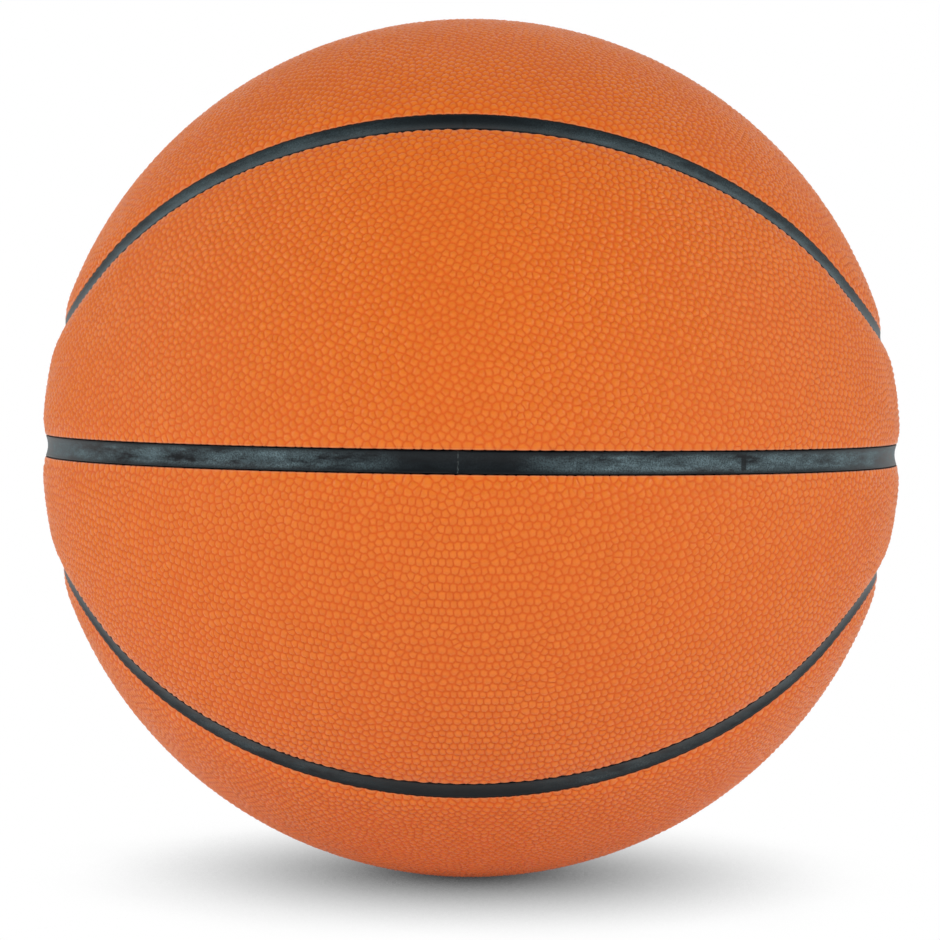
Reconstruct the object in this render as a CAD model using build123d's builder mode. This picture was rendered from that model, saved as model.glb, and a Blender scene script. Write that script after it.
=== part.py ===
from build123d import *
import os
from math import atan2, cos, radians, sin, sqrt

# Basketball of the laminated kind, centred on the origin, with the middle seam level and +Z up.
# Lengths are in millimetres and angles in degrees.

# Ball, and the layers of its wall from the outside in
ball_diameter = 243.0
panel_thickness = 1.8
carcass_thickness = 1.3
winding_thickness = 0.45
bladder_thickness = 0.8
glue_line = 0.05

# Seams: the leather is thinned at its edges and rolls down towards a hollowed rubber rib
seam_width = 6.3
panel_edge_thickness = 0.95
panel_edge_roll = 5.6
drop_left_midway_share = 0.4
roll_lift_share = 0.12
rib_height = 0.75
rib_hollow = 0.3
over_top_rib_hollow = 0.2
rib_root = 0.5
rib_fit = 0.05

# Seam layout: the tilt of the long arcs above the middle seam, and the ovals' height at their ends
long_arc_tilt = 46.5
oval_end_height = 15.0

# Valve plug: a headed stem with a blind bore for an inflating needle
plug_length = 17.0
plug_head_height = 1.2
plug_stem_diameter = 3.6
plug_clearance = 0.1
plug_tip_wall = 2.0
plug_tip_chamfer = 0.5
needle_bore_diameter = 2.0
needle_mouth_chamfer = 0.4

# Valve boot: the neck in the middle seam's rib, the flange on the bladder and the body inside
boot_neck_margin = 0.25
boot_neck_wall = 0.5
boot_body_wall = 3.1
boot_flange_diameter = 28.0
boot_flange_thickness = 1.2
boot_end_chamfer = 0.8

# One overrun serves every cut
overrun = 2.0

# Radii of the layers
ball_radius = ball_diameter / 2
panel_inner_radius = ball_radius - panel_thickness
carcass_radius = panel_inner_radius - glue_line
carcass_inner_radius = carcass_radius - carcass_thickness
winding_radius = carcass_inner_radius - glue_line
winding_inner_radius = winding_radius - winding_thickness
bladder_radius = winding_inner_radius - glue_line
bladder_inner_radius = bladder_radius - bladder_thickness

# Sizes of the valve that follow from the rib it sits in
neck_radius = seam_width / 2 - boot_neck_margin
neck_hole_radius = neck_radius + glue_line
head_hole_radius = neck_radius - boot_neck_wall
head_radius = head_hole_radius - plug_clearance
stem_radius = plug_stem_diameter / 2
stem_hole_radius = stem_radius + plug_clearance
body_radius = stem_hole_radius + boot_body_wall
valve_top = carcass_radius + rib_height - rib_hollow
valve_end = valve_top - plug_length

# Directions, and the turn that keeps the poles of the spheres out of the seams
centre = Vector(0, 0, 0)
right = Vector(1, 0, 0)
back = Vector(0, 1, 0)
up = Vector(0, 0, 1)
half_turn = 180
full_turn = 360
pole_turn = (67, 0, 20)
valve_plane = Plane(origin=centre, x_dir=right, z_dir=back)

# Axes of the arcs that make up one oval seam. A long arc lies on a great circle through the X axis,
# and an end arc on a smaller circle that meets it without a corner.
tilt = radians(long_arc_tilt)
end_height = radians(oval_end_height)
long_arc_axis = Vector(0, sin(tilt), cos(tilt))
end_arc_rise = atan2(sin(end_height), cos(end_height) - cos(tilt))
end_arc_axis = Vector(cos(end_arc_rise), 0, sin(end_arc_rise))
end_arc_low = Vector(sin(end_arc_rise), 0, -cos(end_arc_rise))

# Where a long arc meets an end arc, and the angle that each arc covers
meeting_right = (end_arc_axis - long_arc_axis * end_arc_axis.dot(long_arc_axis)).normalized()
meeting_left = Vector(-meeting_right.X, meeting_right.Y, meeting_right.Z)
long_arc_angle = meeting_left.get_angle(meeting_right)
end_arc_reach = meeting_right - end_arc_axis * meeting_right.dot(end_arc_axis)
end_arc_angle = 2 * end_arc_low.get_angle(end_arc_reach)

# Each seam as arcs, given by a start direction, an axis through the centre and an angle
middle_seam = ((right + back).normalized(), up, full_turn)
over_top_seam = ((right + up).normalized(), back, full_turn)
half_oval = [(meeting_left, long_arc_axis, long_arc_angle), (meeting_right, end_arc_axis, end_arc_angle)]
top_oval = half_oval + [
    (start.rotate(Axis.Z, half_turn), axis.rotate(Axis.Z, half_turn), angle)
    for start, axis, angle in half_oval
]
bottom_oval = [
    (start.rotate(Axis.X, half_turn), axis.rotate(Axis.X, half_turn), angle)
    for start, axis, angle in top_oval
]


def sphere_point(radius, offset):
    """A point of a sphere's outline, at an offset from the line through its centre."""
    return (sqrt(radius**2 - offset**2), offset)


def section_plane(start, axis):
    """The plane of a seam's section, with its x along the radius."""
    return Plane(origin=centre, x_dir=start, z_dir=start.cross(axis))


def channel_section(plane):
    """What a seam takes out of the cover: straight walls, then the rolled edges of the leather."""
    wall = seam_width / 2
    edge_drop = panel_thickness - panel_edge_thickness
    midway_radius = ball_radius - edge_drop * drop_left_midway_share
    lifted_radius = ball_radius + edge_drop * roll_lift_share
    floor_radius = panel_inner_radius - overrun
    top_radius = ball_radius + overrun
    with BuildSketch(plane) as section:
        with BuildLine():
            roll = ThreePointArc(
                sphere_point(ball_radius - edge_drop, wall),
                sphere_point(midway_radius, wall + panel_edge_roll / 2),
                sphere_point(lifted_radius, wall + panel_edge_roll),
            )
            Polyline(roll @ 0, sphere_point(floor_radius, wall), sphere_point(floor_radius, 0))
            Polyline(roll @ 1, sphere_point(top_radius, wall + panel_edge_roll), sphere_point(top_radius, 0))
            mirror(about=Plane.XZ)
        make_face()
    return section.sketch


def rib_section(plane, hollow):
    """A seam rib of the carcass, with its hollowed top."""
    wall = seam_width / 2 - rib_fit
    root_radius = carcass_radius - rib_root
    top_radius = carcass_radius + rib_height
    with BuildSketch(plane) as section:
        with BuildLine():
            trough = ThreePointArc(
                sphere_point(top_radius, -wall),
                sphere_point(top_radius - hollow, 0),
                sphere_point(top_radius, wall),
            )
            Polyline(
                trough @ 1,
                sphere_point(root_radius, wall),
                sphere_point(root_radius, -wall),
                trough @ 0,
            )
        make_face()
    return section.sketch


def wall_layer(outer_radius, inner_radius):
    """One closed layer of the wall, with the hole for the valve's neck."""
    with BuildPart() as layer:
        Sphere(outer_radius, rotation=pole_turn)
        Sphere(inner_radius, rotation=pole_turn, mode=Mode.SUBTRACT)
        with BuildSketch(valve_plane):
            Circle(neck_hole_radius)
        extrude(amount=outer_radius + overrun, mode=Mode.SUBTRACT)
    return layer


# Bladder: the airtight inner balloon
bladder = wall_layer(bladder_radius, bladder_inner_radius)

# Winding: the wound thread over the bladder
winding = wall_layer(winding_radius, winding_inner_radius)

# Valve boot: turned about the valve's axis, with its flange against the bladder's inside
flange_radius = bladder_inner_radius - glue_line
underside_radius = flange_radius - boot_flange_thickness
flange_reach = boot_flange_diameter / 2
head_seat = valve_top - plug_head_height - plug_clearance


def turned_point(radius, distance):
    """A point of a sphere's outline, at a distance from the valve's axis."""
    height, reach = sphere_point(radius, distance)
    return (reach, height)


with BuildPart() as valve_boot:
    with BuildSketch(Plane.XY):
        with BuildLine():
            flange_face = ThreePointArc(
                turned_point(flange_radius, neck_radius),
                turned_point(flange_radius, (neck_radius + flange_reach) / 2),
                turned_point(flange_radius, flange_reach),
            )
            flange_underside = ThreePointArc(
                turned_point(underside_radius, flange_reach),
                turned_point(underside_radius, (flange_reach + body_radius) / 2),
                turned_point(underside_radius, body_radius),
            )
            Line(flange_face @ 1, flange_underside @ 0)
            Polyline(
                flange_underside @ 1,
                (body_radius, valve_end + boot_end_chamfer),
                (body_radius - boot_end_chamfer, valve_end),
                (stem_hole_radius, valve_end),
                (stem_hole_radius, head_seat),
                (head_hole_radius, head_seat),
                (head_hole_radius, valve_top),
                (neck_radius, valve_top),
                flange_face @ 0,
            )
        make_face()
    revolve(axis=Axis.Y)

# Valve plug: seated in the boot, level with the hollow of the rib
bore_radius = needle_bore_diameter / 2
bore_end = valve_end + plug_tip_wall

with BuildPart() as valve_plug:
    with BuildSketch(Plane.XY):
        with BuildLine():
            Polyline(
                (0, bore_end),
                (0, valve_end),
                (stem_radius - plug_tip_chamfer, valve_end),
                (stem_radius, valve_end + plug_tip_chamfer),
                (stem_radius, valve_top - plug_head_height),
                (head_radius, valve_top - plug_head_height),
                (head_radius, valve_top),
                (bore_radius + needle_mouth_chamfer, valve_top),
                (bore_radius, valve_top - needle_mouth_chamfer),
                (bore_radius, bore_end),
                close=True,
            )
        make_face()
    revolve(axis=Axis.Y)

# Carcass: the rubber shell with a raised rib under every seam. The rib over the top is hollowed less
# than the ribs it crosses, so one crosses the other in a clear edge.
oval_ribs = []
for oval in (top_oval, bottom_oval):
    with BuildPart() as oval_rib:
        for start, axis, angle in oval:
            revolve(
                rib_section(section_plane(start, axis), rib_hollow),
                axis=Axis(centre, axis),
                revolution_arc=angle,
            )
    oval_ribs.append(oval_rib.part)

with BuildPart() as carcass:
    Sphere(carcass_radius, rotation=pole_turn)
    for (start, axis, angle), hollow in ((middle_seam, rib_hollow), (over_top_seam, over_top_rib_hollow)):
        revolve(
            rib_section(section_plane(start, axis), hollow),
            axis=Axis(centre, axis),
            revolution_arc=angle,
        )
    for oval_rib in oval_ribs:
        add(oval_rib)
    Sphere(carcass_inner_radius, rotation=pole_turn, mode=Mode.SUBTRACT)
    with BuildSketch(valve_plane):
        Circle(neck_hole_radius)
    extrude(amount=ball_radius + overrun, mode=Mode.SUBTRACT)

# Cover: cut through along the seams. Its front upper quarter holds one side panel and one cap panel.
with BuildPart() as oval_channel:
    for start, axis, angle in top_oval:
        revolve(
            channel_section(section_plane(start, axis)),
            axis=Axis(centre, axis),
            revolution_arc=angle,
        )

with BuildPart() as cover:
    Sphere(ball_radius, rotation=pole_turn)
    Sphere(panel_inner_radius, rotation=pole_turn, mode=Mode.SUBTRACT)
    for start, axis, angle in (middle_seam, over_top_seam):
        revolve(
            channel_section(section_plane(start, axis)),
            axis=Axis(centre, axis),
            revolution_arc=angle,
            mode=Mode.SUBTRACT,
        )
    add(oval_channel.part, mode=Mode.SUBTRACT)

front_pieces = cover.solids().filter_by_position(Axis.Y, -ball_radius, 0)
side_panel, cap_panel = front_pieces.filter_by_position(Axis.Z, 0, ball_radius).sort_by(Axis.Z)

# The panels of the other quarters are half turns of these two
os.makedirs("parts", exist_ok=True)
panels = [
    ("front_upper_panel", side_panel, Axis.Z, 0),
    ("back_upper_panel", side_panel, Axis.Z, half_turn),
    ("front_lower_panel", side_panel, Axis.Y, half_turn),
    ("back_lower_panel", side_panel, Axis.X, half_turn),
    ("front_top_cap", cap_panel, Axis.Z, 0),
    ("back_top_cap", cap_panel, Axis.Z, half_turn),
    ("front_bottom_cap", cap_panel, Axis.Y, half_turn),
    ("back_bottom_cap", cap_panel, Axis.X, half_turn),
]
for name, shape, turn_axis, turn in panels:
    with BuildPart() as panel:
        add(shape.rotate(turn_axis, turn))
    panel.part.label = name
    export_step(panel.part, f"parts/{name}.step")

inner_pieces = [
    ("bladder", bladder),
    ("winding", winding),
    ("carcass", carcass),
    ("valve_boot", valve_boot),
    ("valve_plug", valve_plug),
]
for name, piece in inner_pieces:
    piece.part.label = name
    export_step(piece.part, f"parts/{name}.step")
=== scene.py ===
import math

import bpy
import numpy as np
from mathutils import Matrix, Vector
from mathutils.geometry import delaunay_2d_cdt


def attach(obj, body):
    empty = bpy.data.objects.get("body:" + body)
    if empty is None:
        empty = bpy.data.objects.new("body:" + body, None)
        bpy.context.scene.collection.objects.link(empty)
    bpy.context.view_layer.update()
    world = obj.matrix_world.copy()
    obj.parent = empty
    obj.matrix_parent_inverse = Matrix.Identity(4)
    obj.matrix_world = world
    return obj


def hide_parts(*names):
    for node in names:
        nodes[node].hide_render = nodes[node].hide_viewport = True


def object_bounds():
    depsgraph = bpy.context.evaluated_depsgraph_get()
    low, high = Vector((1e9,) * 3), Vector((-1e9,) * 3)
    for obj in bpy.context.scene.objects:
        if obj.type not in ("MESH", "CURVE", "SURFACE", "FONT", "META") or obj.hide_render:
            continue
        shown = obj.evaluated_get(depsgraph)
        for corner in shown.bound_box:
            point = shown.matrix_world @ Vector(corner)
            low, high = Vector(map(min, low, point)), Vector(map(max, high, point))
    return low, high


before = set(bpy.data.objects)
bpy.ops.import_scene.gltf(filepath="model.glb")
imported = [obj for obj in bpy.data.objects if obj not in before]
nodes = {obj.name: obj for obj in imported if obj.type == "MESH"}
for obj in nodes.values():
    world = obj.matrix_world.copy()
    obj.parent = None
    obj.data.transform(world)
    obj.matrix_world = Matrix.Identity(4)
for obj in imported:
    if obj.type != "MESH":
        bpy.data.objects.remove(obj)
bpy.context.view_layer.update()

# Bladder: a butyl rubber ball about 0.8 mm thick that holds the air.
# It is moulded in one piece, and the valve boot is bonded through its wall.
mm = 0.001


def linear(red, green, blue):
    """A colour written as it looks on a screen, 0 to 255, as Blender's linear colour."""
    shares = [channel / 255 for channel in (red, green, blue)]
    bent = [s / 12.92 if s <= 0.04045 else ((s + 0.055) / 1.055) ** 2.4 for s in shares]
    return (*bent, 1.0)


def node(tree, kind, feed=None, **settings):
    """Adds a node. feed gives its sockets, by name or number, a value or another node's output."""
    made = tree.nodes.new(kind)
    for name, value in settings.items():
        setattr(made, name, value)
    for key, value in (feed or {}).items():
        if isinstance(value, bpy.types.NodeSocket):
            tree.links.new(value, made.inputs[key])
        else:
            made.inputs[key].default_value = value
    return made


def math_node(tree, operation, *values):
    return node(tree, "ShaderNodeMath", dict(enumerate(values)), operation=operation).outputs[0]


def colour_mix(tree, share, first, second):
    return node(tree, "ShaderNodeMix", {0: share, 6: first, 7: second}, data_type="RGBA").outputs[2]


def spread(tree, value, low, high, to_low=0.0, to_high=1.0):
    """Maps low..high to to_low..to_high, held at both ends."""
    ranged = {"Value": value, "From Min": low, "From Max": high, "To Min": to_low, "To Max": to_high}
    return node(tree, "ShaderNodeMapRange", ranged).outputs[0]


def finish_named(name):
    """A new material: its tree, its Principled shader and the piece's own coordinates."""
    made = bpy.data.materials.new(name)
    made.use_nodes = True
    tree = made.node_tree
    place = node(tree, "ShaderNodeTexCoord").outputs["Object"]
    return made, tree, tree.nodes["Principled BSDF"], place


def noise(tree, place, size, detail=3.0, roughness=0.55):
    """Cloudy noise whose blobs are about size metres across."""
    feed = {"Vector": place, "Scale": 1.0 / size, "Detail": detail, "Roughness": roughness}
    return node(tree, "ShaderNodeTexNoise", feed).outputs["Fac"]


def bump(tree, height, depth, share=1.0):
    feed = {"Strength": share, "Distance": depth, "Height": height}
    return node(tree, "ShaderNodeBump", feed).outputs["Normal"]


def link_finish(tree, shader, **looks):
    """Links a finish's colour, roughness or normal into its shader."""
    sockets = {"colour": "Base Color", "roughness": "Roughness", "normal": "Normal"}
    for look, value in looks.items():
        tree.links.new(value, shader.inputs[sockets[look]])


def dress(name, finish):
    """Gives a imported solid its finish."""
    materials = nodes[name].data.materials
    materials.clear()
    materials.append(finish)


butyl, tree, shader, place = finish_named("butyl")
talc = spread(tree, noise(tree, place, 18 * mm, 4.0), 0.52, 0.72)
link_finish(
    tree,
    shader,
    colour=colour_mix(tree, talc, linear(34, 34, 35), linear(74, 74, 73)),
    roughness=spread(tree, talc, 0.0, 1.0, 0.55, 0.8),
    normal=bump(tree, noise(tree, place, 1.5 * mm), 0.05 * mm),
)
dress("bladder", butyl)

# Winding: nylon thread wound all over the bladder in every direction and set in latex.
# It keeps the ball round and stops it from growing under pressure.
thread_pitch = 7 * mm
thread_turns = (0.4, 0.2, 0.0), (1.3, 0.5, 0.7), (0.2, 1.2, 2.0)
thread, tree, shader, place = finish_named("wound_thread")
strands = None
for turn in thread_turns:
    turned = node(tree, "ShaderNodeMapping", {"Vector": place, "Rotation": turn}).outputs[0]
    feed = {"Vector": turned, "Scale": 1.0 / thread_pitch, "Distortion": 1.5, "Detail": 1.0, "Detail Scale": 40.0}
    lay = node(tree, "ShaderNodeTexWave", feed, bands_direction="Z").outputs["Fac"]
    strands = lay if strands is None else math_node(tree, "MAXIMUM", strands, lay)
shader.inputs["Roughness"].default_value = 0.75
link_finish(
    tree,
    shader,
    colour=colour_mix(tree, strands, linear(150, 138, 112), linear(222, 216, 200)),
    normal=bump(tree, strands, 0.2 * mm),
)
dress("winding", thread)

# Valve boot: a moulded rubber body with a flange that is bonded to the bladder.
# Its neck comes up through the carcass and ends just above the bottom of the middle seam.
boot_rubber, tree, shader, place = finish_named("boot_rubber")
bloom = spread(tree, noise(tree, place, 2.5 * mm, 4.0), 0.45, 0.75)
link_finish(
    tree,
    shader,
    colour=colour_mix(tree, bloom, linear(36, 38, 40), linear(60, 63, 65)),
    roughness=spread(tree, bloom, 0.0, 1.0, 0.5, 0.7),
    normal=bump(tree, noise(tree, place, 0.25 * mm), 0.02 * mm),
)
dress("valve_boot", boot_rubber)

# Valve plug: a soft rubber plug pushed into the boot, with the hole that the needle goes through.
# It can be pulled out and replaced.
plug_rubber, tree, shader, place = finish_named("plug_rubber")
wiped = spread(tree, noise(tree, place, 1.2 * mm, 3.0), 0.4, 0.7)
link_finish(
    tree,
    shader,
    colour=colour_mix(tree, wiped, linear(44, 45, 47), linear(70, 72, 74)),
    roughness=spread(tree, wiped, 0.0, 1.0, 0.38, 0.55),
    normal=bump(tree, noise(tree, place, 0.2 * mm), 0.015 * mm),
)
dress("valve_plug", plug_rubber)

# Carcass: black rubber moulded over the winding, with a low rib along every seam line.
# The ribs are hollowed along their tops and show between the leather panels as the seams.
ball_radius = 121.5 * mm
carcass_radius = 119.65 * mm
carcass_wall = 1.3 * mm
rib_half_width = 2.9 * mm
rib_shoulder_half_width = 2.74 * mm
rib_edge_drop = 1.14 * mm
rib_middle_drop = 1.72 * mm
rib_corner_drop = 1.5 * mm
rib_unevenness = 0.03 * mm
rib_uneven_scale = 22.0
rib_foot_share = 1.003
rib_line_offsets = np.array([0.0, 0.8, 1.6, 2.25, 2.74, 2.83, 2.9, 2.93]) * mm
boot_hole_radius = 2.95 * mm
long_arc_tilt = math.radians(46.5)
oval_end_height = math.radians(15.0)
seam_step = 1.5 * mm
hole_rim_steps = 12
loose_start, loose_step = 0.04, 0.055
loose_clearance = 6 * mm

# The oval seam is two long arcs, on great circles through X, closed by two rounder end arcs.
long_pole = np.array([0.0, math.sin(long_arc_tilt), math.cos(long_arc_tilt)])
long_crest = np.array([0.0, -math.cos(long_arc_tilt), math.sin(long_arc_tilt)])
end_height = math.atan2(math.sin(oval_end_height), math.cos(oval_end_height) - math.cos(long_arc_tilt))
end_reach = end_height - oval_end_height
end_pole = np.array([math.cos(end_height), 0.0, math.sin(end_height)])
end_down = np.array([math.sin(end_height), 0.0, -math.cos(end_height)])
end_front = np.array([0.0, -1.0, 0.0])
meeting = end_pole - (end_pole @ long_pole) * long_pole
meeting /= np.linalg.norm(meeting)
meeting_along = math.acos(meeting[0])
around = meeting - math.cos(end_reach) * end_pole
meeting_around = math.atan2(around @ end_front, around @ end_down)
meeting_side = np.cross(long_pole, meeting)
meeting_side *= np.sign(meeting_side @ long_crest)


def folded(points):
    """The points mirrored into the eighth at the right, front and top."""
    return np.abs(points) * np.array([1.0, -1.0, 1.0])


def oval_angle(points):
    """Angle from the oval seam's middle line, above zero inside the oval."""
    in_eighth = folded(points)
    on_long_arc = in_eighth @ meeting_side > 0
    long_angle = np.arcsin(np.clip(in_eighth @ long_pole, -1, 1))
    end_angle = end_reach - np.arccos(np.clip(in_eighth @ end_pole, -1, 1))
    return np.where(on_long_arc, long_angle, end_angle)


def nearest_seam(points):
    """Angle from the middle line of the nearest seam."""
    from_middle, from_top_seam = (np.arcsin(np.abs(points[:, axis]).clip(0, 1)) for axis in (2, 1))
    return np.minimum(np.minimum(from_middle, from_top_seam), np.abs(oval_angle(points)))


def unit(points):
    return points / np.linalg.norm(points, axis=-1, keepdims=True)


def flat_map(points, middle):
    """Maps directions to a plane as seen from the far side of the ball, which keeps circles round."""
    right = np.cross(middle, [0.0, 0.0, 1.0]) if abs(middle[2]) < 0.9 else np.array([1.0, 0.0, 0.0])
    right = unit(right)
    right = unit(right - (right @ middle) * middle)
    up = np.cross(middle, right)
    scale = 2.0 / (1.0 + points @ middle)
    return np.column_stack([(points @ right) * scale, (points @ up) * scale]), right, up


def lifted(flat, middle, right, up):
    """The way back from flat_map."""
    square = (flat**2).sum(1) / 4.0
    height = (1.0 - square) / (1.0 + square)
    scale = (1.0 + height) / 2.0
    return height[:, None] * middle + (flat[:, :1] * right + flat[:, 1:] * up) * scale[:, None]


def rib_octant():
    """One eighth of the carcass as a triangle net on a ball of radius 1, with lines along the ribs.
    Also says which triangles are inside the valve's hole."""
    offsets = rib_line_offsets / ball_radius
    both = np.concatenate([-offsets[:0:-1], offsets])
    step = seam_step / ball_radius
    quarter = math.pi / 2

    def sampled(low, high, *extra):
        count = max(2, int(round((high - low) / step)))
        values = np.concatenate([np.linspace(low, high, count + 1), *extra])
        values = np.sort(values[(values >= low) & (values <= high)])
        return values[np.concatenate([[True], np.diff(values) > 1e-9])]

    hole = boot_hole_radius / ball_radius
    lines = []
    for offset in offsets:
        flat, lift = math.cos(offset), math.sin(offset)
        extra = [offsets, [quarter - hole]] if offset == 0 else []
        turn = sampled(0.0, quarter, *extra)
        level = np.full(len(turn), lift)
        lines.append(np.column_stack([np.cos(turn) * flat, -np.sin(turn) * flat, level]))
        extra = [offsets, oval_end_height + both] if offset == 0 else []
        turn = sampled(0.0, quarter, *extra)
        level = np.full(len(turn), -lift)
        lines.append(np.column_stack([np.cos(turn) * flat, level, np.sin(turn) * flat]))
    for offset in both:
        turn = sampled(0.0, meeting_around)[:-1, None]
        reach = end_reach - offset
        ring = np.cos(turn) * end_down + np.sin(turn) * end_front
        end_arc = math.cos(reach) * end_pole + math.sin(reach) * ring
        along = sampled(meeting_along, quarter)[:, None]
        crest = np.cos(along) * np.array([1.0, 0.0, 0.0]) + np.sin(along) * long_crest
        long_arc = math.cos(offset) * crest + math.sin(offset) * long_pole
        lines.append(np.concatenate([end_arc, long_arc]))
    rise = sampled(0.0, quarter, offsets, long_arc_tilt + both, quarter - offsets, [hole])
    lines.append(np.column_stack([np.zeros(len(rise)), -np.cos(rise), np.sin(rise)]))
    turn = np.linspace(0.0, quarter, hole_rim_steps + 1)
    level = np.full(len(turn), -math.cos(hole))
    lines.append(np.column_stack([np.cos(turn) * math.sin(hole), level, np.sin(turn) * math.sin(hole)]))

    # A loose net of points under the panels fills the wide parts.
    spots = np.array([
        (a, b, 1.0 - a - b)
        for a in np.arange(loose_start, 1, loose_step)
        for b in np.arange(loose_start, 1 - a, loose_step)
    ])
    spots = unit(spots * np.array([1.0, -1.0, 1.0]))
    spots = spots[nearest_seam(spots) > loose_clearance / ball_radius]

    points = np.concatenate(lines + [spots])
    edges, first = [], 0
    for line in lines:
        edges += [(first + i, first + i + 1) for i in range(len(line) - 1)]
        first += len(line)
    middle = unit(np.array([1.0, -1.0, 1.0]))
    flat, right, up = flat_map(points, middle)
    net = delaunay_2d_cdt([Vector(p) for p in flat], edges, [], 0, 1e-6)
    spots = lifted(np.array([tuple(p) for p in net[0]]), middle, right, up)
    spots = np.where(np.abs(spots) < 1e-4, 0.0, unit(spots))
    faces = np.array(net[2])
    # A sliver whose corners all lie on one mirror plane is dropped.
    faces = faces[~(spots[faces] == 0).all(1).any(1)]
    centres = unit(spots[faces].mean(1))
    in_hole = np.arccos(np.clip(-centres[:, 1], -1, 1)) < hole
    normals = np.cross(spots[faces[:, 1]] - spots[faces[:, 0]], spots[faces[:, 2]] - spots[faces[:, 0]])
    inward = (normals * spots[faces[:, 0]]).sum(1) < 0
    faces[inward] = faces[inward][:, ::-1]
    return spots, faces, in_hole


def carcass_net():
    """The eight eighths put together, with the valve's hole at the back."""
    points, faces, count = [], [], 0
    spots, corners, in_hole = rib_octant()
    for back in (False, True):
        kept = corners[~in_hole] if back else corners
        for side in (1, -1):
            for height in (1, -1):
                mirror = np.array([side, -1 if back else 1, height])
                points.append(spots * mirror + 0.0)
                faces.append((kept if mirror.prod() > 0 else kept[:, ::-1]) + count)
                count += len(spots)
    points, faces = np.concatenate(points), np.concatenate(faces)
    first, place_of = np.unique(points, axis=0, return_index=True, return_inverse=True)[1:]
    points, faces = points[first], place_of.reshape(-1)[faces]
    used, place_of = np.unique(faces, return_inverse=True)
    return points[used], place_of.reshape(faces.shape)


def in_scene(name, data):
    """A new object in the scene."""
    made = bpy.data.objects.new(name, data)
    bpy.context.scene.collection.objects.link(made)
    return made


def paint(mesh, name, domain, values):
    """Stores a number for each point or face of a mesh, for its trees and its finish to read."""
    made = mesh.attributes.new(name, "FLOAT", domain)
    made.data.foreach_set("value", np.asarray(values, np.float32))


spots, corners = carcass_net()
edge_pairs = np.concatenate([corners[:, [0, 1]], corners[:, [1, 2]], corners[:, [2, 0]]])
ordered = np.sort(edge_pairs, axis=1)
first, uses = np.unique(ordered, axis=0, return_index=True, return_counts=True)[1:]
rim = edge_pairs[first[uses == 1]]
outer = len(spots)
faces = corners.tolist()
faces += (corners[:, ::-1] + outer).tolist()
faces += [(b, a, a + outer, b + outer) for a, b in rim.tolist()]
net = bpy.data.meshes.new("carcass_rubber")
net.from_pydata(np.concatenate([spots, spots]).tolist(), [], faces)
seam_offset = nearest_seam(spots) * ball_radius
paint(net, "seam_offset", "POINT", np.concatenate([seam_offset, np.full(outer, -1.0)]))
paint(net, "inside_oval", "POINT", np.tile(oval_angle(spots) * ball_radius, 2))
carcass = in_scene("carcass_rubber", net)


def shape_tree(name, sizes, counts=()):
    """A new Geometry Nodes tree with a named input for each size and count. Gives the tree and its inputs."""
    tree = bpy.data.node_groups.new(name, "GeometryNodeTree")
    kinds = {"Geometry": "Geometry", **dict.fromkeys(sizes, "Float"), **dict.fromkeys(counts, "Int")}
    kinds["Material"] = "Material"
    for title, kind in kinds.items():
        tree.interface.new_socket(title, in_out="INPUT", socket_type="NodeSocket" + kind)
    tree.interface.new_socket("Geometry", in_out="OUTPUT", socket_type="NodeSocketGeometry")
    return tree, node(tree, "NodeGroupInput").outputs


def end_tree(tree, geometry, material):
    """Ends a tree with smooth shading, real geometry and the material."""
    geometry = node(tree, "GeometryNodeSetShadeSmooth", {"Geometry": geometry}).outputs[0]
    geometry = node(tree, "GeometryNodeRealizeInstances", {"Geometry": geometry}).outputs[0]
    feed = {"Geometry": geometry, "Material": material}
    node(tree, "NodeGroupOutput", {"Geometry": node(tree, "GeometryNodeSetMaterial", feed).outputs[0]})


def attribute(tree, name, kind="FLOAT"):
    return node(tree, "GeometryNodeInputNamedAttribute", {"Name": name}, data_type=kind).outputs[0]


def vector_scaled(tree, vector, factor):
    return node(tree, "ShaderNodeVectorMath", {0: vector, "Scale": factor}, operation="SCALE").outputs[0]


def shaped(piece, tree, values):
    """Runs a Geometry Nodes tree on a piece, keeps the result as its plain mesh and drops the modifier."""
    modifier = piece.modifiers.new(tree.name, "NODES")
    modifier.node_group = tree
    for item in tree.interface.items_tree:
        if item.in_out == "INPUT" and item.name in values:
            modifier[item.identifier] = values[item.name]
    seen = bpy.context.evaluated_depsgraph_get()
    ready = piece.evaluated_get(seen)
    result = bpy.data.meshes.new_from_object(ready, preserve_all_data_layers=True, depsgraph=seen)
    piece.modifiers.remove(modifier)
    old = piece.data
    piece.data = result
    bpy.data.meshes.remove(old)
    result.name = piece.name
    return piece


rib_sizes = {
    "Carcass radius": carcass_radius,
    "Wall": carcass_wall,
    "Shoulder half width": rib_shoulder_half_width,
    "Middle radius": ball_radius - rib_middle_drop,
    "Edge radius": ball_radius - rib_edge_drop,
    "Corner radius": ball_radius - rib_corner_drop,
    "Rib half width": rib_half_width,
    "Unevenness": rib_unevenness,
}
rib_tree, given = shape_tree("seam_ribs", rib_sizes)
offset = attribute(rib_tree, "seam_offset")
at = node(rib_tree, "GeometryNodeInputPosition").outputs[0]
direction = node(rib_tree, "ShaderNodeVectorMath", {0: at}, operation="NORMALIZE").outputs[0]
share = math_node(rib_tree, "DIVIDE", offset, given["Shoulder half width"])
square = math_node(rib_tree, "POWER", share, 2.0)
hollow = spread(rib_tree, square, 0.0, 1.0, given["Middle radius"], given["Edge radius"])
corner = spread(rib_tree, offset, given["Shoulder half width"], given["Rib half width"], 0.0, 1.0)
corner = math_node(rib_tree, "POWER", corner, 2.0)
corner_drop = math_node(rib_tree, "SUBTRACT", given["Edge radius"], given["Corner radius"])
top = math_node(rib_tree, "SUBTRACT", hollow, math_node(rib_tree, "MULTIPLY", corner, corner_drop))
feed = {"Vector": direction, "Scale": rib_uneven_scale, "Detail": 2.0}
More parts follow.
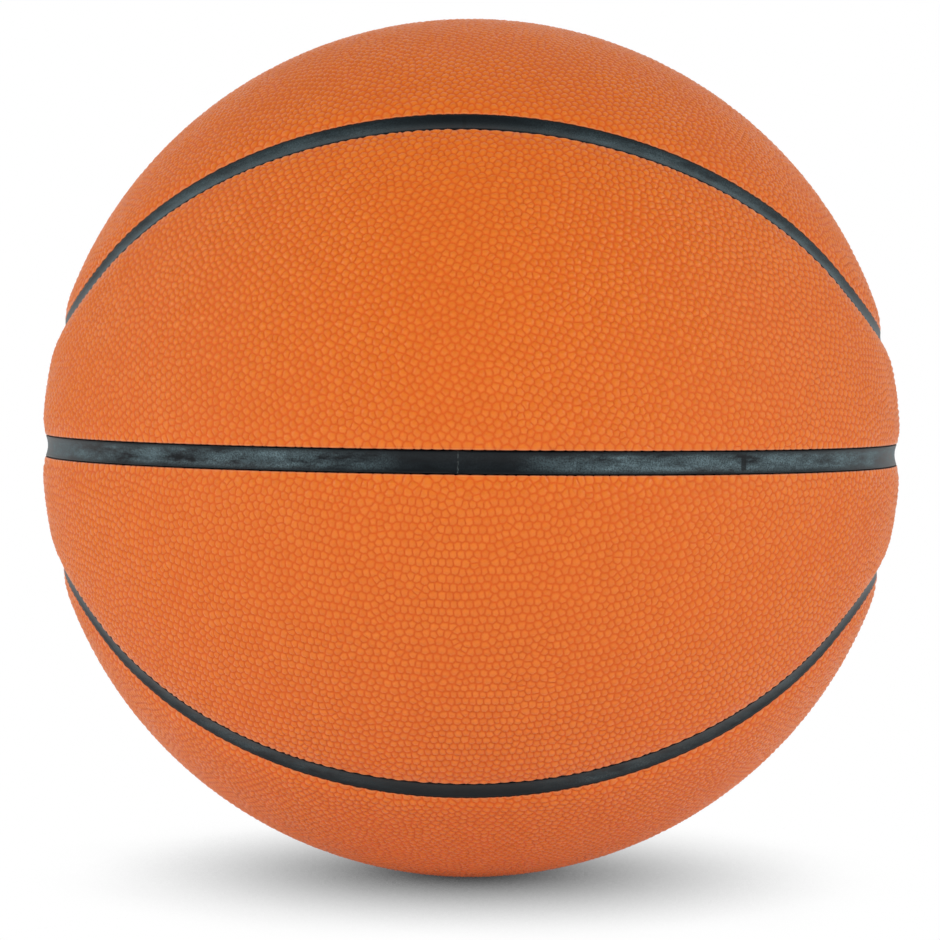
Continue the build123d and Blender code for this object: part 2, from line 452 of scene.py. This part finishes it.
uneven = node(rib_tree, "ShaderNodeTexNoise", feed).outputs["Fac"]
uneven = math_node(rib_tree, "MULTIPLY", math_node(rib_tree, "SUBTRACT", uneven, 0.5), given["Unevenness"])
top = math_node(rib_tree, "ADD", top, uneven)
foot = math_node(rib_tree, "MULTIPLY", given["Rib half width"], rib_foot_share)
under = math_node(rib_tree, "GREATER_THAN", offset, foot)
radius = node(rib_tree, "ShaderNodeMix", {0: under, 2: top, 3: given["Carcass radius"]}).outputs[0]
inside = math_node(rib_tree, "LESS_THAN", offset, 0.0)
inner = math_node(rib_tree, "SUBTRACT", given["Carcass radius"], given["Wall"])
radius = node(rib_tree, "ShaderNodeMix", {0: inside, 2: radius, 3: inner}).outputs[0]
feed = {"Geometry": given["Geometry"], "Position": vector_scaled(rib_tree, direction, radius)}
moved = node(rib_tree, "GeometryNodeSetPosition", feed).outputs[0]
end_tree(rib_tree, moved, given["Material"])


def painted(tree, name):
    return node(tree, "ShaderNodeAttribute", attribute_name=name).outputs["Fac"]


def product(tree, first, *others):
    for other in others:
        first = math_node(tree, "MULTIPLY", first, other)
    return first


# The grey is both smudges and painted highlight on the seams.
black_rubber, smear_and_highlight_grey, mould_line = linear(13, 17, 21), linear(106, 128, 134), linear(98, 106, 106)
joint_black, glue_and_shade_black = linear(14, 17, 20), linear(10, 10, 10)
middle_joint_x, arc_joint_x = 72.5 * mm, -0.5 * mm
seam_rubber, tree, shader, place = finish_named("seam_rubber")
along = node(tree, "ShaderNodeSeparateXYZ", {0: place}).outputs
from_side = math_node(tree, "ABSOLUTE", along["X"])
from_middle = math_node(tree, "ABSOLUTE", along["Z"])
across = painted(tree, "seam_offset")

# Grey smears and specks left by hands and floors, most of them in the hollow of the middle seam. They are also a
# painted reflection of the softboxes on that seam, and thin out towards its middle at front and back.
drawn_out = {0: place, 1: (0.45, 0.45, 1.6)}
streaks = node(tree, "ShaderNodeVectorMath", drawn_out, operation="MULTIPLY").outputs[0]
smears = spread(tree, noise(tree, streaks, 6 * mm, 5.0, 0.65), 0.36, 0.62)
specks = spread(tree, noise(tree, place, 0.4 * mm, 3.0, 0.75), 0.36, 0.64, 0.2, 1.0)
off_centre_share = spread(tree, from_side, 14 * mm, 36 * mm, 0.08, 1.0)
on_middle_seam = spread(tree, from_middle, 3 * mm, 5 * mm, 1.0, 0.35)
in_hollow = spread(tree, across, 1.5 * mm, 2.5 * mm, 1.0, 0.2)
smudge_and_highlight = product(tree, smears, specks, off_centre_share, on_middle_seam, in_hollow)

# Painted highlight of the light from above on the upper seams, in the grey of the smudges: more of it towards the
# sides and on the oval's outer half, the side of the hollow that faces up.
highlight_towards_sides = spread(tree, from_side, 5 * mm, 75 * mm, 0.1, 0.6)
upper = spread(tree, along["Z"], 5 * mm, 30 * mm)
highlight_facing_up = spread(tree, painted(tree, "inside_oval"), -0.8 * mm, 0.8 * mm, 1.0, 0.3)
smudge_and_highlight = math_node(tree, "MULTIPLY_ADD", product(tree, highlight_towards_sides, upper, highlight_facing_up), specks, smudge_and_highlight)
rubber = colour_mix(tree, smudge_and_highlight, black_rubber, smear_and_highlight_grey)

# A thin, wavy and broken line from the mould crosses the middle seam.
near_middle = spread(tree, from_middle, 3 * mm, 5 * mm, 1.0, 0.0)
wavy = spread(tree, noise(tree, place, 1.6 * mm, 2.0), 0.3, 0.7, -0.16 * mm, 0.16 * mm)
from_line = math_node(tree, "ABSOLUTE", math_node(tree, "ADD", along["X"], wavy))
line = spread(tree, from_line, 0.07 * mm, 0.18 * mm, 0.55, 0.0)
broken = spread(tree, noise(tree, place, 0.9 * mm, 2.0), 0.42, 0.6, 0.1, 1.0)
rubber = colour_mix(tree, product(tree, line, broken, near_middle), rubber, mould_line)


def from_joint(tree, joint_x):
    return math_node(tree, "ABSOLUTE", math_node(tree, "SUBTRACT", along["X"], joint_x))


# Dark joints cross the hollow of the middle seam and of the curved seams. The rib's feet are near black, as glue
# and as painted shade in the gap under the panels' edges.
off_middle = math_node(tree, "SUBTRACT", 1.0, near_middle)
middle_joint = spread(tree, from_joint(tree, middle_joint_x), 0.55 * mm, 0.85 * mm, 0.85, 0.0)
middle_joint = product(tree, middle_joint, near_middle)
arc_joint = spread(tree, from_joint(tree, arc_joint_x), 0.3 * mm, 0.7 * mm, 0.6, 0.0)
arc_joint = product(tree, arc_joint, off_middle)
joints = math_node(tree, "ADD", middle_joint, arc_joint)
joints = product(tree, joints, spread(tree, across, 1.9 * mm, 2.4 * mm, 1.0, 0.0))
rubber = colour_mix(tree, joints, rubber, joint_black)
# Glue and painted shade at the rib's feet.
rubber = colour_mix(tree, spread(tree, across, 2.7 * mm, 2.86 * mm), rubber, glue_and_shade_black)
shader.inputs["Specular IOR Level"].default_value = 0.2
link_finish(
    tree,
    shader,
    colour=rubber,
    roughness=spread(tree, smudge_and_highlight, 0.0, 0.6, 0.4, 0.6),
    normal=bump(tree, noise(tree, place, 0.35 * mm, 3.0), 0.04 * mm, 0.7),
)
shaped(carcass, rib_tree, {**rib_sizes, "Material": seam_rubber})
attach(carcass, "ball")
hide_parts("carcass")

# Panels: eight pieces of pebbled leather glued on the carcass between the ribs.
# Each pebble is a low dome pressed into the leather, and the panel's edges are rolled down to the rib.
panel_under_radius = 119.72 * mm
panel_edge_half_gap = 3.02 * mm
edge_drop = 0.95 * mm
edge_roll = 5.6 * mm
roll_power = 1.7
pebble_area = 4.25 * mm * mm
pebble_height = 0.58 * mm
pebble_height_at_edge = 0.3 * mm
pebble_edge_fade = 1.0 * mm
least_groove = 0.25 * mm
halved_groove = 0.75 * mm
groove_wander = 0.06 * mm
edge_notch = 0.32 * mm
edge_notch_spread = 0.55, 1.0
edge_points, edge_point_notch = (0.2, 0.5, 0.8), 0.25
panel_corner_clearance = 3 * mm
on_edge_line, off_panel_corner = 0.02 * mm, 1 * mm
flesh_step, flesh_clearance = 14, 3 * mm
pebble_jitter = 0.22
evening_rounds = 3
pebble_pitch = math.sqrt(pebble_area * 2 / math.sqrt(3))
edge_reach = 0.3 * pebble_pitch / ball_radius
mirror_reach = 3 * pebble_pitch / ball_radius
edge_angle = panel_edge_half_gap / ball_radius


def panel_edges(points, cap):
    """Angles by which points are inside each edge line of the front upper panel, or of the front top cap."""
    over_top = np.arcsin(np.clip(-points[:, 1], -1, 1)) - edge_angle
    oval = oval_angle(points)
    if cap:
        return [over_top, oval - edge_angle]
    return [over_top, -oval - edge_angle, np.arcsin(np.clip(points[:, 2], -1, 1)) - edge_angle]


def turned_towards(points, poles, angles):
    """Turns each point towards its pole by an angle."""
    height = (points * poles).sum(1, keepdims=True)
    level = unit(points - height * poles)
    latitude = np.arcsin(np.clip(height[:, 0], -1, 1)) + angles
    return np.cos(latitude)[:, None] * level + np.sin(latitude)[:, None] * poles


def edge_poles(points, which):
    """The pole of the edge line nearest to each point. Turning towards it goes into a cap, or up."""
    if which == 0:
        return np.tile([0.0, -1.0, 0.0], (len(points), 1))
    if which == 2:
        return np.tile([0.0, 0.0, 1.0], (len(points), 1))
    to_side = np.where(points[:, :1] < 0, -1.0, 1.0)
    side = to_side * np.array([1.0, 0.0, 0.0]) + np.array([0.0, 1.0, 1.0])
    on_long_arc = (folded(points) @ meeting_side > 0)[:, None]
    return np.where(on_long_arc, long_pole, end_pole) * side


def turned_in(points, which, cap, angles):
    """Turns points into the panel, square to one edge line, by an angle."""
    inward = -1.0 if which == 1 and not cap else 1.0
    return turned_towards(points, edge_poles(points, which), angles * inward)


def mirrored(points, cap, reach):
    """The points near each edge line, mirrored in it, and near a corner in both lines."""
    inside = panel_edges(points, cap)
    made = []
    for which in range(len(inside)):
        near = inside[which] < reach
        copy = turned_in(points[near], which, cap, -2 * inside[which][near])
        made.append(copy)
        for other in range(which):
            close = inside[other][near] < reach
            made.append(turned_in(copy[close], other, cap, -2 * inside[other][near][close]))
    return np.concatenate(made)


def cells(points, cap, middle):
    """The cell of each point among its neighbours, which end on the panel's edge lines."""
    count = len(points)
    everyone = np.concatenate([points, mirrored(points, cap, mirror_reach)])
    flat = flat_map(everyone, middle)[0]
    net = delaunay_2d_cdt([Vector(p) for p in flat], [], [], 0, 1e-9)
    triangles = np.array(net[2])
    if len(net[0]) != len(everyone):
        came_from = np.array([ids[0] for ids in net[3]])
        triangles = came_from[triangles]
    a, b, c = (everyone[triangles[:, k]] for k in range(3))
    centres = np.cross(b - a, c - a)
    backwards = (centres * a).sum(1) < 0
    triangles[backwards] = triangles[backwards][:, ::-1]
    centres[backwards] *= -1
    lengths = np.linalg.norm(centres, axis=1)
    centres = centres / np.maximum(lengths, 1e-15)[:, None]
    return everyone, triangles, centres, count


def rings(triangles, count):
    """For each of the first points, its neighbours and the triangles between them, in order."""
    following = [dict() for _ in range(count)]
    for index, (a, b, c) in enumerate(triangles.tolist()):
        for here, there, last in ((a, b, c), (b, c, a), (c, a, b)):
            if here < count:
                following[here][there] = (last, index)
    found = []
    for steps in following:
        start = next(iter(steps))
        at, ring = start, []
        while True:
            after, index = steps[at]
            ring.append((index, after))
            at = after
            if at == start:
                break
        found.append(ring)
    return found


def pebble_cells(cap, seed):
    """Seeds the pebbles of a panel and evens them out, and gives their outlines as polygons."""
    random = np.random.default_rng(seed)
    total = int(4 * math.pi * ball_radius**2 / pebble_area)
    steps = np.arange(total) + 0.5
    height = 1 - 2 * steps / total
    turn = steps * math.pi * (3 - math.sqrt(5))
    level = np.sqrt(1 - height**2)
    points = np.column_stack([level * np.cos(turn), level * np.sin(turn), height])
    spin = np.linalg.qr(random.normal(size=(3, 3)))[0]
    points = points @ spin.T
    points = unit(points + random.normal(size=points.shape) * pebble_jitter * pebble_pitch / ball_radius)
    keep = (points[:, 1] < 0) & (points[:, 2] > 0)
    points = points[keep]
    keep = np.min(panel_edges(points, cap), axis=0) > edge_reach
    points = points[keep]
    middle = unit(np.array([0.0, -0.35, 0.94]) if cap else np.array([0.0, -0.94, 0.34]))
    for round_number in range(evening_rounds + 1):
        everyone, triangles, centres, count = cells(points, cap, middle)
        if round_number == evening_rounds:
            break
        total_of = np.zeros((len(everyone), 3))
        for k in range(3):
            np.add.at(total_of, triangles[:, k], centres)
        points = unit(total_of[:count])
    return everyone, triangles, centres, count, middle, random


def spread_over(values, low, high, to_low, to_high):
    """Maps low..high smoothly to to_low..to_high, held at both ends."""
    share = np.clip((values - low) / (high - low), 0, 1)
    share = share * share * (3 - 2 * share)
    return to_low + (to_high - to_low) * share


def panel_net(cap, seed):
    """A panel's outlines as one net: a polygon for each pebble, the cut edge, and the flesh side."""
    everyone, triangles, centres, count, middle, random = pebble_cells(cap, seed)
    own = triangles < count
    on_edge = own.any(1) & ~own.all(1)

    def snapped(points):
        for _ in range(2):
            for which in range(2 if cap else 3):
                inside = panel_edges(points, cap)[which]
                near = np.abs(inside) < edge_reach
                points = np.where(near[:, None], turned_in(points, which, cap, -inside), points)
        return points

    centres[on_edge] = snapped(centres[on_edge])
    around = rings(triangles, count)

    # Grooves that are too short are drawn together into one corner.
    root = list(range(len(triangles)))

    def root_of(index):
        while root[index] != index:
            root[index] = root[root[index]]
            index = root[index]
        return index

    for ring in around:
        for k, (index, neighbour) in enumerate(ring):
            after = ring[(k + 1) % len(ring)][0]
            if np.linalg.norm(centres[index] - centres[after]) * ball_radius < least_groove:
                root[root_of(index)] = root_of(after)
    groups = np.array([root_of(index) for index in range(len(triangles))])
    weight = np.where(on_edge, 1e6, 1.0)
    merged = np.zeros_like(centres)
    np.add.at(merged, groups, centres * weight[:, None])
    merged = unit(merged + 1e-30)
    edge_group = np.zeros(len(triangles), bool)
    edge_group[groups[on_edge]] = True
    merged[edge_group] = snapped(merged[edge_group])

    place, corner, index_of, mid_of = [], [], {}, {}
    outlines, after_edge = [], {}

    def corner_at(group):
        if group not in index_of:
            index_of[group] = len(place)
            place.append(merged[group])
            corner.append(1.0)
        return index_of[group]

    for i, ring in enumerate(around):
        outline = []
        for k, (index, neighbour) in enumerate(ring):
            here, there = groups[index], groups[ring[(k + 1) % len(ring)][0]]
            if here == there:
                continue
            run = [corner_at(here)]
            length = np.linalg.norm(merged[here] - merged[there]) * ball_radius
            if neighbour >= count and length > halved_groove:
                beside = np.sort(np.array(panel_edges(merged[[here, there]], cap)), axis=0)[1] * ball_radius
                for share in edge_points if beside.min() > panel_corner_clearance else (0.5,):
                    spot = snapped(unit(merged[here] * (1 - share) + merged[there] * share)[None])[0]
                    nearest = np.linalg.norm(merged[[here, there]] - spot, axis=1).min() * ball_radius
                    if nearest > least_groove / 2:
                        run.append(len(place))
                        place.append(spot)
                        corner.append(0.0 if share == 0.5 else edge_point_notch)
            elif length > halved_groove:
                key = (min(i, neighbour), max(i, neighbour))
                if key not in mid_of:
                    mid_of[key] = len(place)
                    middle_point = unit(merged[here] + merged[there])
                    side = np.cross(middle_point, unit(merged[there] - merged[here]))
                    place.append(unit(middle_point + side * random.normal() * groove_wander / ball_radius))
                    corner.append(0.0)
                run.append(mid_of[key])
            outline += run
            if neighbour >= count:
                run.append(corner_at(there))
                after_edge.update(zip(run, run[1:]))
        outlines.append(outline)

    start = next(iter(after_edge))
    loop = [start]
    while after_edge[loop[-1]] != start:
        loop.append(after_edge[loop[-1]])
    place, corner = np.array(place), np.array(corner)
    inset = np.clip(np.min(panel_edges(place, cap), axis=0), 0, None) * ball_radius
    inset[loop] = 0.0

    # Along the edge each groove ends in a small notch, so that the pebbles there stay rounded.
    rim = np.array(loop)
    beside = np.array(panel_edges(place[rim], cap)) * ball_radius
    notch = corner[rim] * edge_notch * random.uniform(*edge_notch_spread, len(rim)) / ball_radius
    for which in range(len(beside)):
        others = np.min(np.delete(beside, which, axis=0), axis=0)
        here = (beside[which] < on_edge_line) & (others > off_panel_corner)
        place[rim[here]] = turned_in(place[rim[here]], which, cap, notch[here])

    # The flesh side follows the cut edge, with a loose net of points between.
    rim = place[loop]
    inner = unit(everyone[:count:flesh_step])
    inner = inner[np.min(panel_edges(inner, cap), axis=0) * ball_radius > flesh_clearance]
    under = np.concatenate([rim, inner])
    flat = flat_map(under, middle)[0]
    edges = [(k, (k + 1) % len(loop)) for k in range(len(loop))]
    net = delaunay_2d_cdt([Vector(p) for p in flat], edges, [], 1, 1e-9)
    came_from = [ids[0] for ids in net[3]]
    below = len(place)
    walls = [(loop[a], below + a, below + b, loop[b]) for a, b in edges]
    flesh = [tuple(below + came_from[k] for k in face) for face in net[2]]
    a, b, c = (under[came_from[k]] for k in net[2][0][:3])
    if np.cross(b - a, c - a) @ a > 0:
        flesh = [face[::-1] for face in flesh]

    share = np.clip(1 - inset / edge_roll, 0, 1)
    depth = spread_over(inset, 0, pebble_edge_fade, pebble_height_at_edge, pebble_height)
    radius = ball_radius - edge_drop * share**roll_power - depth
    points = np.concatenate([place * radius[:, None], under * panel_under_radius])
    return points, outlines, walls + flesh, corner, depth


pebble_grain = {
    "Shoulder share": 0.7,
    "Share spread": 0.09,
    "Share patch": 22 * mm,
    "Shoulder height": 0.64,
    "Top height": 0.36,
    "Corner rounding": 0.26,
    "Height spread": 0.08,
}
grain_tree, given = shape_tree("pebble_grain", pebble_grain, ["Seed"])


def stored(tree, geometry, name, value, domain, kind="FLOAT", selection=None):
    feed = {"Geometry": geometry, "Name": name, "Value": value}
    if selection is not None:
        feed["Selection"] = selection
    return node(tree, "GeometryNodeStoreNamedAttribute", feed, data_type=kind, domain=domain).outputs[0]


def chance(tree, low, high, seed):
    return node(tree, "FunctionNodeRandomValue", {2: low, 3: high, 8: seed}, data_type="FLOAT").outputs[1]


grained = math_node(grain_tree, "GREATER_THAN", attribute(grain_tree, "grain_side"), 0.5)
depth = attribute(grain_tree, "groove_depth")
at = node(grain_tree, "GeometryNodeInputPosition").outputs[0]
low = math_node(grain_tree, "SUBTRACT", 1.0, given["Height spread"])
high = math_node(grain_tree, "ADD", 1.0, given["Height spread"])
tallness = chance(grain_tree, low, high, given["Seed"])
net = stored(grain_tree, given["Geometry"], "pebble_height", tallness, "FACE")
second_seed = math_node(grain_tree, "ADD", given["Seed"], 1.0)
net = stored(grain_tree, net, "pebble_tint", chance(grain_tree, 0.0, 1.0, second_seed), "FACE")
net = stored(grain_tree, net, "pebble_middle", at, "FACE", "FLOAT_VECTOR")
net = stored(grain_tree, net, "groove", 1.0, "POINT")
patch_scale = math_node(grain_tree, "DIVIDE", 1.0, given["Share patch"])
feed = {"Vector": at, "Scale": patch_scale, "Detail": 1.0}
patchy = node(grain_tree, "ShaderNodeTexNoise", feed).outputs["Fac"]
less = math_node(grain_tree, "MULTIPLY", given["Share spread"], -1.0)
more_or_less = spread(grain_tree, patchy, 0.35, 0.65, less, given["Share spread"])
shoulder = math_node(grain_tree, "ADD", given["Shoulder share"], more_or_less)
net = stored(grain_tree, net, "pebble_share", shoulder, "FACE")
rise = math_node(grain_tree, "MULTIPLY", depth, attribute(grain_tree, "pebble_height"))
chosen = grained
for level, name in enumerate(("Shoulder", "Top")):
    lift = math_node(grain_tree, "MULTIPLY", rise, given[name + " height"])
    feed = {"Mesh": net, "Selection": chosen, "Offset Scale": lift, "Individual": True}
    pushed = node(grain_tree, "GeometryNodeExtrudeMesh", feed, mode="FACES").outputs
    chosen = pushed["Top"]
    drawn_in = attribute(grain_tree, "pebble_share") if level == 0 else 0.0
    feed = {"Geometry": pushed["Mesh"], "Selection": chosen, "Scale": drawn_in}
    net = node(grain_tree, "GeometryNodeScaleElements", feed, domain="FACE").outputs[0]
    if level == 0:
        net = stored(grain_tree, net, "groove", 0.0, "POINT", selection=chosen)
        feed = {0: attribute(grain_tree, "pebble_middle", "FLOAT_VECTOR"), 1: at}
        back = node(grain_tree, "ShaderNodeVectorMath", feed, operation="SUBTRACT").outputs[0]
        pull = product(grain_tree, attribute(grain_tree, "groove_corner"), given["Corner rounding"])
        feed = {"Geometry": net, "Selection": chosen, "Offset": vector_scaled(grain_tree, back, pull)}
        net = node(grain_tree, "GeometryNodeSetPosition", feed).outputs[0]
feed = {"Geometry": net, "Selection": chosen, "Distance": 1e-6}
net = node(grain_tree, "GeometryNodeMergeByDistance", feed).outputs[0]
end_tree(grain_tree, net, given["Material"])

deep_orange, light_orange, worn_orange = linear(226, 111, 22), linear(232, 121, 31), linear(233, 122, 36)
pale_fleck, groove_red_and_shade = linear(227, 129, 43), linear(222, 93, 12)
painted_highlight_rim, dark_rim_and_shade, cut_brown = linear(236, 148, 104), linear(44, 24, 16), linear(34, 20, 15)
leather, tree, shader, place = finish_named("pebbled_leather")
groove = painted(tree, "groove")
tint = painted(tree, "pebble_tint")
inset = painted(tree, "panel_inset")
blotch = noise(tree, place, 35 * mm, 3.0)
fleck = noise(tree, place, 0.8 * mm, 3.0, 0.6)
top = colour_mix(tree, tint, deep_orange, light_orange)
top = colour_mix(tree, spread(tree, blotch, 0.35, 0.7, 0.0, 0.3), top, worn_orange)
top = colour_mix(tree, spread(tree, fleck, 0.45, 0.75, 0.0, 0.35), top, pale_fleck)
# The grooves between pebbles are redder, and darker as painted shade in them.
skin = colour_mix(tree, groove, top, groove_red_and_shade)
# A painted highlight along the panels' rolled edges.
skin = colour_mix(tree, spread(tree, inset, 0.3 * mm, 0.65 * mm, 0.35, 0.0), skin, painted_highlight_rim)
# A dark line just inside each panel's edge: the edge's own dark colour, and painted shade where the edge rolls
# down to the seam.
skin = colour_mix(tree, spread(tree, inset, 0.08 * mm, 0.26 * mm, 1.0, 0.0), skin, dark_rim_and_shade)
skin = colour_mix(tree, painted(tree, "cut_edge"), skin, cut_brown)
shader.inputs["Specular IOR Level"].default_value = 0.36
shader.inputs["Sheen Weight"].default_value = 0.08
shader.inputs["Sheen Roughness"].default_value = 0.5
link_finish(
    tree,
    shader,
    colour=skin,
    roughness=spread(tree, groove, 0.0, 1.0, 0.34, 0.7),
    normal=bump(tree, noise(tree, place, 0.18 * mm, 3.0), 0.02 * mm, 0.7),
)

# Each quarter of the ball is the front upper one turned half round, and has one side panel and one cap.
half_turns = {
    "front_upper": (1, 1, 1),
    "back_upper": (-1, -1, 1),
    "front_lower": (-1, 1, -1),
    "back_lower": (1, -1, -1),
}
grain_seed = 11
for quarter, turn in half_turns.items():
    for cap in (False, True):
        front, height = quarter.split("_")
        name = f"{front}_{'top' if height == 'upper' else 'bottom'}_cap" if cap else quarter + "_panel"
        grain_seed += 7
        points, outlines, other_faces, corner, depth = panel_net(cap, grain_seed)
        mesh = bpy.data.meshes.new(name + "_leather")
        mesh.from_pydata((points * np.array(turn)).tolist(), [], outlines + other_faces)
        flesh_points = np.zeros(len(points) - len(corner))
        paint(mesh, "groove_corner", "POINT", np.concatenate([corner, flesh_points]))
        paint(mesh, "groove_depth", "POINT", np.concatenate([depth, flesh_points]))
        grain_side = np.concatenate([np.ones(len(outlines)), np.zeros(len(other_faces))])
        paint(mesh, "grain_side", "FACE", grain_side)
        paint(mesh, "cut_edge", "FACE", 1.0 - grain_side)
        panel = in_scene(name + "_leather", mesh)
        shaped(panel, grain_tree, {**pebble_grain, "Seed": grain_seed, "Material": leather})
        spots = np.empty(len(panel.data.vertices) * 3, np.float32)
        panel.data.vertices.foreach_get("co", spots)
        spots = unit(spots.reshape(-1, 3).astype(float) * np.array(turn))
        inset = np.clip(np.min(panel_edges(spots, cap), axis=0), 0, None) * ball_radius
        paint(panel.data, "panel_inset", "POINT", inset)
        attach(panel, "ball")
        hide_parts(name)

# Floor: a plain sheet of white studio paper, level with the ball's lowest point.
# What the camera and mirrors see of it is painted: white, with the ball's soft contact shadow painted in from
# ambient occlusion, fading to the white of the backdrop. The paper also glows faintly, which lights the ball from
# below.
floor_size = 12.0
paper_white, paper_glow = 0.93, 0.16
shadow_reach, shadow_power = 0.8, 0.78
shadow_gain, shadow_least = 1.5, 0.03
half = floor_size / 2
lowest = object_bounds()[0].z
sheet_corners = [(x * half, y * half, lowest) for x, y in ((-1, -1), (1, -1), (1, 1), (-1, 1))]
sheet = bpy.data.meshes.new("studio_floor")
sheet.from_pydata(sheet_corners, [], [(0, 1, 2, 3)])
floor = in_scene("studio_floor", sheet)
paper, tree, shader, place = finish_named("studio_paper")
shader.inputs["Base Color"].default_value = (paper_white, paper_white, paper_white, 1.0)
shader.inputs["Roughness"].default_value = 0.9
shader.inputs["Specular IOR Level"].default_value = 0.0
shader.inputs["Emission Color"].default_value = (1.0, 1.0, 1.0, 1.0)
shader.inputs["Emission Strength"].default_value = paper_glow
# The painted contact shadow: white light whose strength follows the ambient occlusion.
open_sky = node(tree, "ShaderNodeAmbientOcclusion", {"Distance": shadow_reach}, samples=16).outputs["AO"]
open_sky = math_node(tree, "POWER", open_sky, shadow_power)
shade = math_node(tree, "MULTIPLY_ADD", open_sky, shadow_gain, shadow_least)
shade = math_node(tree, "MINIMUM", shade, 1.0)
painted_shadow_white = node(tree, "ShaderNodeEmission", {"Strength": shade}).outputs[0]


def sees_background(tree):
    """1 for what the camera sees itself, in a mirror or through glass, and 1 for what a mirror sees."""
    ray = node(tree, "ShaderNodeLightPath").outputs
    seen = math_node(tree, "MAXIMUM", ray["Is Camera Ray"], ray["Is Glossy Ray"])
    return math_node(tree, "MAXIMUM", seen, ray["Is Transmission Ray"]), ray["Is Glossy Ray"]


seen = sees_background(tree)[0]
paper_with_painted_shadow = node(tree, "ShaderNodeMixShader", {0: seen, 1: shader.outputs[0], 2: painted_shadow_white}).outputs[0]
tree.links.new(paper_with_painted_shadow, tree.nodes["Material Output"].inputs["Surface"])
sheet.materials.append(paper)

# Light: an even white studio with a softbox at each side, and a wide fill in front and behind.
# The camera sees the studio as plain white, and mirrors see it darker in front of the ball.
studio = bpy.data.worlds.new("white_studio")
bpy.context.scene.world = studio
studio.use_nodes = True
tree = studio.node_tree
room_light, backdrop_light = 0.37, 0.82
ceiling_share, front_in_mirrors = 0.74, 0.1
direction = node(tree, "ShaderNodeTexCoord").outputs["Generated"]
direction = node(tree, "ShaderNodeSeparateXYZ", {0: direction}).outputs
around = spread(tree, direction["Y"], -0.1, 0.7, room_light, backdrop_light)
around = product(tree, around, spread(tree, direction["Z"], 0.15, 1.0, 1.0, ceiling_share))
mirrored_room = spread(tree, direction["Y"], 0.0, 0.7, front_in_mirrors, 1.0)
seen, mirror = sees_background(tree)
backdrop = node(tree, "ShaderNodeMix", {0: mirror, 2: 1.0, 3: mirrored_room}).outputs[0]
strength = node(tree, "ShaderNodeMix", {0: seen, 2: around, 3: backdrop}).outputs[0]
tree.nodes["Background"].inputs["Color"].default_value = (1.0, 1.0, 1.0, 1.0)
tree.links.new(strength, tree.nodes["Background"].inputs["Strength"])


def softbox(name, azimuth, height, distance, width, tall, power, in_mirrors=True):
    """A rectangular lamp aimed at the ball. Azimuth 0 is the camera's side, and plus is to its right."""
    lamp = bpy.data.lights.new(name, "AREA")
    lamp.shape = "RECTANGLE"
    lamp.size, lamp.size_y, lamp.energy = width, tall, power
    made = in_scene(name, lamp)
    turn, rise = math.radians(azimuth), math.radians(height)
    away = Vector((math.sin(turn) * math.cos(rise), -math.cos(turn) * math.cos(rise), math.sin(rise)))
    made.location = away * distance
    made.rotation_mode = "QUATERNION"
    made.rotation_quaternion = away.to_track_quat("Z", "Y")
    made.visible_glossy = in_mirrors


softbox("left_softbox", -62, 22, distance=1.5, width=0.6, tall=0.5, power=4.3)
softbox("right_softbox", 62, 22, distance=1.5, width=0.8, tall=0.5, power=4.8)
softbox("front_fill", -4, 26, distance=2.4, width=1.2, tall=0.8, power=17.0, in_mirrors=False)
softbox("back_fill", 176, 26, distance=2.4, width=1.2, tall=0.8, power=8.0, in_mirrors=False)

# Camera: a long lens in front of the ball, a little above its middle, as in the photograph.
# Its place, turn and roll were fitted to the ball's outline and seams there.
image_size = 940
ball_pixels = 429.5
ball_left, ball_down = 471.25, 448.2
view_distance = 7.9 * ball_radius
view_height = math.radians(1.7)
view_turn = math.radians(1.56)
view_roll = math.radians(0.63)
pixel_length = ball_pixels * math.sqrt((view_distance / ball_radius) ** 2 - 1)
lens = bpy.data.cameras.new("camera")
lens.sensor_width = 36.0
lens.lens = pixel_length / image_size * lens.sensor_width
lens.clip_start, lens.clip_end = 0.05, 50.0
camera = in_scene("camera", lens)
back = Vector((
    math.sin(view_turn) * math.cos(view_height),
    -math.cos(view_turn) * math.cos(view_height),
    math.sin(view_height),
))
aim = back.to_track_quat("Z", "Y").to_matrix() @ Matrix.Rotation(view_roll, 3, "Z")
tip_right = math.atan((ball_left - image_size / 2) / pixel_length)
tip_down = math.atan((ball_down - image_size / 2) / pixel_length)
aim = aim @ Matrix.Rotation(tip_right, 3, "Y") @ Matrix.Rotation(tip_down, 3, "X")
camera.matrix_world = Matrix.Translation(back * view_distance) @ aim.to_4x4()
bpy.context.scene.camera = camera

bpy.context.scene.view_settings.view_transform = "Standard"
